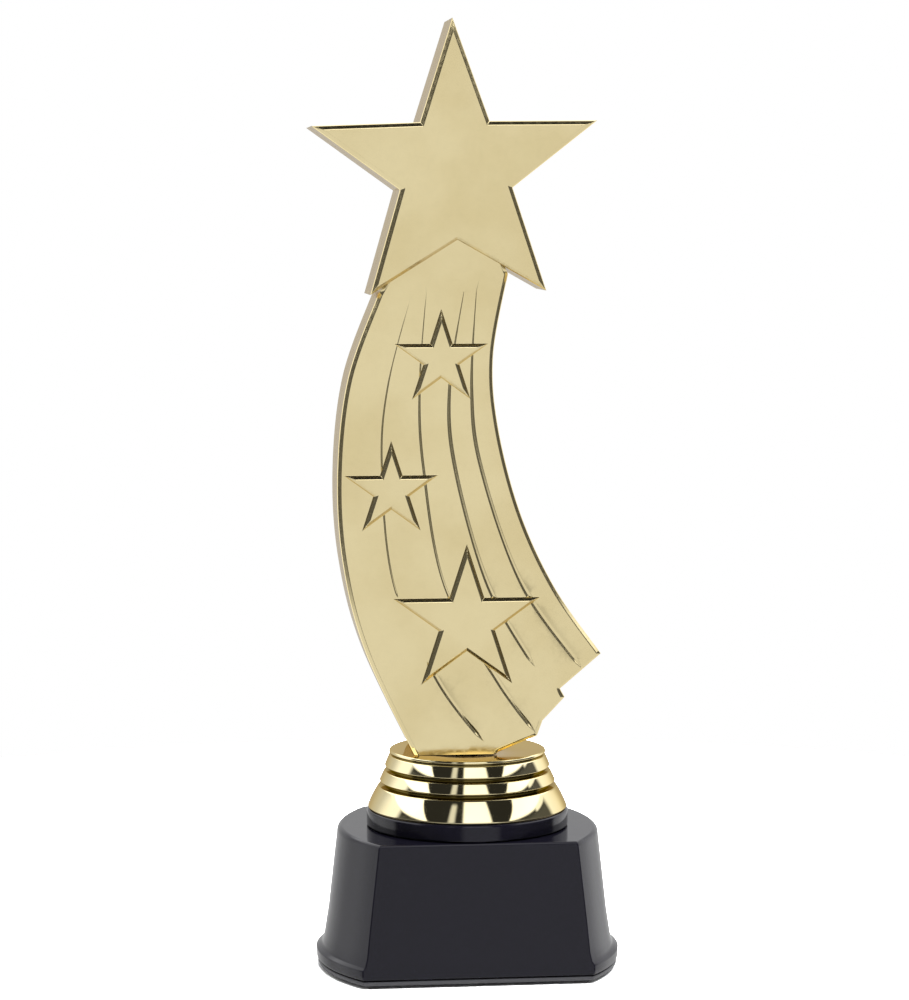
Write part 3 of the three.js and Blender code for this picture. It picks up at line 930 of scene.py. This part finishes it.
# Height, half width at the middle of the bulging side, half depth, and half width of the flat face
BASE_LEVELS = [
    (BASE_BOTTOM, 39.0, 27.2, 29.3),
    (4.8, 39.1, 27.1, 29.3),
    (5.2, 38.5, 27.1, 29.0),
    (5.8, 37.6, 27.1, 28.6),
    (8, 37.0, 27.0, 28.1),
    (15, 35.9, 26.8, 27.4),
    (BASE_TOP, 33.5, 26.2, 25.0),
]
BASE_WALL = 2.5
LIP_ROUND = [(0, 0.35), (0.12, 0.12), (0.4, 0)]  # height above the bottom, and how far drawn in
WALL_HEIGHTS = (3.6, 4.6, 4.8, 4.95, 5.2, 5.5, 5.8, 6.3, 7, 8, 10, 15, 25)
SIDE_ROUND, FRONT_ROUND = 1.3, 0.4  # how far the rounded top edge reaches inwards
TOP_STEPS = 7
SIDE_STEPS, CORNER_STEPS = 20, 5
PLATE_INSET, PAD_INSET = 0.3, 1.6


def base_ring(z, bulge, depth, flat, wall=0.0, corner=0.22):
    """One level of the base's outline, with its four upright corners rounded."""
    half_depth = depth - wall
    half_flat = flat - wall * 0.8
    sag = bulge - wall - half_flat
    radius = (half_depth ** 2 + sag ** 2) / (2 * sag)
    reach = math.asin((half_depth - corner) / radius)
    centre = bulge - wall - radius
    quarter = []
    for i in range(SIDE_STEPS + 1):
        angle = reach * i / SIDE_STEPS
        quarter.append((centre + radius * math.cos(angle), radius * math.sin(angle)))
    end = Vector(quarter[-1])
    peak = Vector((half_flat, half_depth))
    stop = Vector((half_flat - corner, half_depth))
    for i in range(1, CORNER_STEPS + 1):
        t = i / CORNER_STEPS
        quarter.append(tuple(end * (1 - t) ** 2 + peak * 2 * t * (1 - t) + stop * t ** 2))
    quarter.append((half_flat - corner - 0.6, half_depth))
    ring = [(x, y, z) for x, y in quarter]
    ring += [(-x, y, z) for x, y in reversed(quarter)]
    ring += [(-x, -y, z) for x, y in quarter[1:]]
    ring += [(x, -y, z) for x, y in reversed(quarter[1:])]
    return ring


def level_at(z):
    heights = [level[0] for level in BASE_LEVELS]
    return [float(np.interp(z, heights, [level[k] for level in BASE_LEVELS])) for k in (1, 2, 3)]


def drawn_in_rings(outline, levels):
    """The same outline at several heights, each drawn in by its own inset."""
    return [base_ring(z, *[v - inset for v in outline]) for z, inset in levels]


def base_rings():
    """The outside from the lip up, then the rounded top edge."""
    heights = [(BASE_BOTTOM + rise, inset) for rise, inset in LIP_ROUND]
    heights += [(z, 0) for z in (*WALL_HEIGHTS, BASE_TOP - SIDE_ROUND - 0.4)]
    rings = []
    for z, inset in heights:
        rings += drawn_in_rings(level_at(z), [(z, inset)])
    for i in range(TOP_STEPS + 1):
        angle = math.pi / 2 * i / TOP_STEPS
        z = BASE_TOP - SIDE_ROUND * (1 - math.sin(angle))
        bulge, depth, flat = level_at(z)
        side = SIDE_ROUND * (1 - math.cos(angle))
        front = FRONT_ROUND * (1 - math.cos(angle))
        rings.append(base_ring(z, bulge - side, depth - front, flat - front))
    return rings


def make_base():
    roof = BASE_TOP - 3
    inner = [(roof, level_at(roof)), (roof * 0.5, level_at(roof * 0.5)), (BASE_BOTTOM, level_at(8))]
    inside = [base_ring(z, *level, wall=BASE_WALL) for z, level in inner]
    points, faces = bands_between([*inside, *base_rings()])
    piece = piece_from("black_base_shell", points, faces, "base_black", "base_shell")
    keep_flats_flat(piece)


def make_bottom_plate():
    top = BASE_BOTTOM - 0.3
    outline = [v - PLATE_INSET for v in BASE_LEVELS[0][1:]]
    rings = drawn_in_rings(outline, [
        (PLATE_BOTTOM, 0.3), (PLATE_BOTTOM + 0.1, 0.1), (PLATE_BOTTOM + 0.3, 0),
        (top - 0.3, 0), (top - 0.1, 0.1), (top, 0.3),
    ])
    points, faces = bands_between(rings)
    piece = piece_from("black_bottom_plate", points, faces, "plate_black", "bottom_plate")
    keep_flats_flat(piece)


def make_felt_pad():
    outline = [v - PAD_INSET for v in BASE_LEVELS[0][1:]]
    rings = drawn_in_rings(outline, [
        (0, 0.25), (0.1, 0.05), (0.3, 0), (PAD_TOP - 0.1, 0.05), (PAD_TOP, 0.25),
    ])
    points, faces = bands_between(rings)
    piece = piece_from("felt_underside_pad", points, faces, "felt", "felt_pad")
    keep_flats_flat(piece)


make_base()
make_bottom_plate()
make_felt_pad()

# ---------- CAD nodes that stay ----------

SLOT_OF = {part["node"]: part["material_slot"] for part in frame["record"]["subparts"]}
REPLACED = {
    "figure_front_shell", "figure_back_shell", "riser_collar", "seat_ring", "base_shell",
    "bottom_plate", "felt_pad",
}


def finish_hardware():
    for node, slot in SLOT_OF.items():
        if node in REPLACED:
            continue
        mesh = bpy.data.objects[node].data
        mesh.materials.clear()
        mesh.materials.append(MATERIALS[slot])


finish_hardware()
